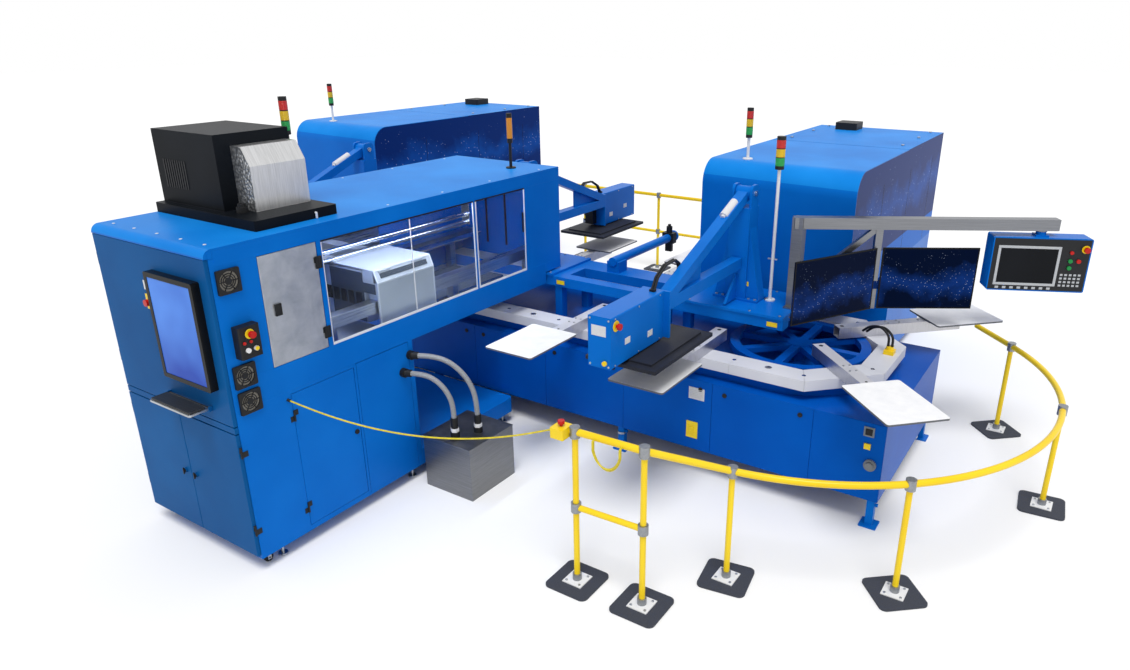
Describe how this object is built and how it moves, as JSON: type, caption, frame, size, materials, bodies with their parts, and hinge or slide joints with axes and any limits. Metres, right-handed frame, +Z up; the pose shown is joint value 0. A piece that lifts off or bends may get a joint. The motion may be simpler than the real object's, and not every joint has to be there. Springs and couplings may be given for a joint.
{
  "type": "direct to garment printer",
  "caption": "Automatic direct to garment printing press: an oval pallet carousel with box-shaped print engines, pivoting press heads, a swivelling control panel and a tubular guard rail.",
  "frame": {"origin": "on the floor under the drive wheel's axis at the carousel's right end", "axes": "+X along the carousel towards the drive end, +Y towards the back engines, +Z up"},
  "size_m": [9.201, 7.237, 2.675],
  "materials": {
    "blue_paint": "gloss powder coat",
    "grey_paint": "satin coat",
    "dark_paint": "satin coat",
    "silver_paint": "satin coat",
    "yellow_paint": "gloss coat",
    "bright_steel": "machined",
    "stainless_steel": "brushed",
    "aluminium": "extruded",
    "white_board": "matt coat",
    "clear_pane": "clear",
    "black_plastic": "matt",
    "white_plastic": "matt",
    "red_plastic": "gloss",
    "grey_hose": "braided",
    "yellow_cord": "smooth jacket",
    "mat_rubber": "matt",
    "caster_rubber": "matt",
    "dark_gloss": "gloss"
  },
  "bodies": {
    "machine": {"base_frame": "blue_paint", "base_panels": "blue_paint", "gear_units": "dark_paint", "jack_legs": "blue_paint", "spine_beams": "blue_paint", "towers": "blue_paint", "chain_links": "grey_paint", "chain_pins": "bright_steel", "pallet_arms": "aluminium", "pallets": "white_board", "window_engine_cabinet": "blue_paint", "window_panes": "clear_pane", "print_rails": "bright_steel", "side_fittings": "black_plastic", "exhaust_hood": "dark_paint", "levelling_feet": "bright_steel", "engine_cabinet_2": "blue_paint", "engine_cabinet_3": "blue_paint", "stack_lights": "white_plastic", "ink_tank": "stainless_steel", "hose_couplings": "black_plastic", "tank_hose_1": "grey_hose", "tank_hose_2": "grey_hose", "guard_rail_tubes": "yellow_paint", "rail_fittings": "grey_paint", "rail_mats": "mat_rubber", "signal_cord": "yellow_cord", "boom": "aluminium", "display_panels": "dark_gloss", "rotary_union": "black_plastic"},
    "drive_wheel": {"drive_wheel": "dark_paint"},
    "idler_wheel": {"idler_wheel": "dark_paint"},
    "head_1": {"head_arm_1": "blue_paint"},
    "platen_1": {"press_platen_1": "dark_paint"},
    "head_2": {"head_arm_2": "blue_paint"},
    "platen_2": {"press_platen_2": "dark_paint"},
    "head_3": {"head_arm_3": "blue_paint"},
    "platen_3": {"press_platen_3": "dark_paint"},
    "head_stop": {"head_stop_button": "red_plastic"},
    "upper_door": {"upper_end_door": "blue_paint", "touch_screen": "black_plastic"},
    "keyboard": {"keyboard_shelf": "grey_paint"},
    "end_stop": {"end_stop_button": "red_plastic"},
    "lower_door_left": {"lower_end_door_left": "blue_paint"},
    "lower_door_right": {"lower_end_door_right": "blue_paint"},
    "side_door": {"side_door": "blue_paint"},
    "hatch": {"hatch_door": "stainless_steel"},
    "print_carriage": {"print_carriage": "silver_paint"},
    "side_stop": {"side_stop_button": "red_plastic"},
    "rail_stop": {"rail_stop_button": "red_plastic"},
    "control_panel": {"control_panel": "blue_paint"},
    "panel_stop": {"panel_stop_button": "red_plastic"},
    "caster_fork_1": {"caster_fork_1": "bright_steel"},
    "caster_wheel_1": {"caster_wheel_1": "caster_rubber"},
    "caster_fork_2": {"caster_fork_2": "bright_steel"},
    "caster_wheel_2": {"caster_wheel_2": "caster_rubber"},
    "engine_cover_2": {"engine_cover_2": "blue_paint"},
    "engine_carriage_2": {"engine_carriage_2": "silver_paint"},
    "engine_cover_3": {"engine_cover_3": "blue_paint"},
    "engine_carriage_3": {"engine_carriage_3": "silver_paint"}
  },
  "joints": [
    {"name": "drive_wheel_turn", "type": "hinge", "parent": "machine", "child": "drive_wheel", "pos_m": [0, 0, 0.86], "axis": [0, 0, 1], "continuous": true},
    {"name": "idler_wheel_turn", "type": "hinge", "parent": "machine", "child": "idler_wheel", "pos_m": [-6.06, 0, 0.86], "axis": [0, 0, 1], "continuous": true},
    {"name": "head_1_lift", "type": "hinge", "parent": "machine", "child": "head_1", "pos_m": [-0.505, 0, 1.948], "axis": [-1, 0, 0], "range_deg": [0, 20]},
    {"name": "platen_1_press", "type": "slide", "parent": "head_1", "child": "platen_1", "axis": [0, 0, -1], "range_m": [0, 0.13]},
    {"name": "head_2_lift", "type": "hinge", "parent": "machine", "child": "head_2", "pos_m": [-2.525, 0, 1.948], "axis": [1, 0, 0], "range_deg": [0, 20]},
    {"name": "platen_2_press", "type": "slide", "parent": "head_2", "child": "platen_2", "axis": [0, 0, -1], "range_m": [0, 0.13]},
    {"name": "head_3_lift", "type": "hinge", "parent": "machine", "child": "head_3", "pos_m": [-4.545, 0, 1.948], "axis": [-1, 0, 0], "range_deg": [0, 20]},
    {"name": "platen_3_press", "type": "slide", "parent": "head_3", "child": "platen_3", "axis": [0, 0, -1], "range_m": [0, 0.13]},
    {"name": "head_stop_push", "type": "slide", "parent": "head_1", "child": "head_stop", "axis": [-1, 0, 0], "range_m": [0, 0.006], "stiffness_N_per_m": 400},
    {"name": "upper_door_swing", "type": "hinge", "parent": "machine", "child": "upper_door", "pos_m": [-3.2313, -3.203, 1.47], "axis": [0, 0, -1], "range_deg": [0, 110]},
    {"name": "keyboard_fold", "type": "hinge", "parent": "upper_door", "child": "keyboard", "pos_m": [-2.5, -3.228, 1.061], "axis": [1, 0, 0], "range_deg": [0, 90]},
    {"name": "end_stop_push", "type": "slide", "parent": "upper_door", "child": "end_stop", "axis": [0, 1, 0], "range_m": [0, 0.006], "stiffness_N_per_m": 400},
    {"name": "lower_door_left_swing", "type": "hinge", "parent": "machine", "child": "lower_door_left", "pos_m": [-3.2313, -3.203, 0.52], "axis": [0, 0, -1], "range_deg": [0, 110]},
    {"name": "lower_door_right_swing", "type": "hinge", "parent": "machine", "child": "lower_door_right", "pos_m": [-2.1087, -3.203, 0.52], "axis": [0, 0, 1], "range_deg": [0, 110]},
    {"name": "side_door_swing", "type": "hinge", "parent": "machine", "child": "side_door", "pos_m": [-2.1087, -2.8315, 0.585], "axis": [0, 0, -1], "range_deg": [0, 60]},
    {"name": "hatch_swing", "type": "hinge", "parent": "machine", "child": "hatch", "pos_m": [-2.1087, -2.5185, 1.572], "axis": [0, 0, 1], "range_deg": [0, 110]},
    {"name": "carriage_travel", "type": "slide", "parent": "machine", "child": "print_carriage", "axis": [0, 1, 0], "range_m": [-0.38, 1.26]},
    {"name": "side_stop_push", "type": "slide", "parent": "machine", "child": "side_stop", "axis": [-1, 0, 0], "range_m": [0, 0.006], "stiffness_N_per_m": 400},
    {"name": "rail_stop_push", "type": "slide", "parent": "machine", "child": "rail_stop", "axis": [0, 0, -1], "range_m": [0, 0.006], "stiffness_N_per_m": 400},
    {"name": "panel_swivel", "type": "hinge", "parent": "machine", "child": "control_panel", "pos_m": [1.37745, 0.86537, 1.74], "axis": [0, 0, 1], "range_deg": [-60, 60]},
    {"name": "panel_stop_push", "type": "slide", "parent": "control_panel", "child": "panel_stop", "axis": [-0.4289, 0.9033, 0], "range_m": [0, 0.006], "stiffness_N_per_m": 400},
    {"name": "caster_1_swivel", "type": "hinge", "parent": "machine", "child": "caster_fork_1", "pos_m": [-3.15, -3.119, 0.08], "axis": [0, 0, 1], "continuous": true},
    {"name": "caster_1_roll", "type": "hinge", "parent": "caster_fork_1", "child": "caster_wheel_1", "pos_m": [-3.15, -3.107, 0.03], "axis": [1, 0, 0], "continuous": true},
    {"name": "caster_2_swivel", "type": "hinge", "parent": "machine", "child": "caster_fork_2", "pos_m": [-2.19, -3.119, 0.08], "axis": [0, 0, 1], "continuous": true},
    {"name": "caster_2_roll", "type": "hinge", "parent": "caster_fork_2", "child": "caster_wheel_2", "pos_m": [-2.19, -3.107, 0.03], "axis": [1, 0, 0], "continuous": true},
    {"name": "cover_2_lift", "type": "hinge", "parent": "machine", "child": "engine_cover_2", "pos_m": [-0.44, 1.88, 2.08], "axis": [-1, 0, 0], "range_deg": [0, 55]},
    {"name": "carriage_2_travel", "type": "slide", "parent": "machine", "child": "engine_carriage_2", "axis": [1, 0, 0], "range_m": [-0.38, 0.38]},
    {"name": "cover_3_lift", "type": "hinge", "parent": "machine", "child": "engine_cover_3", "pos_m": [-5.49, 1.88, 2.08], "axis": [-1, 0, 0], "range_deg": [0, 55]},
    {"name": "carriage_3_travel", "type": "slide", "parent": "machine", "child": "engine_carriage_3", "axis": [1, 0, 0], "range_m": [-0.38, 0.38]}
  ],
  "couplings": [
    {"joint": "idler_wheel_turn", "follows": "drive_wheel_turn", "ratio": 1}
  ]
}
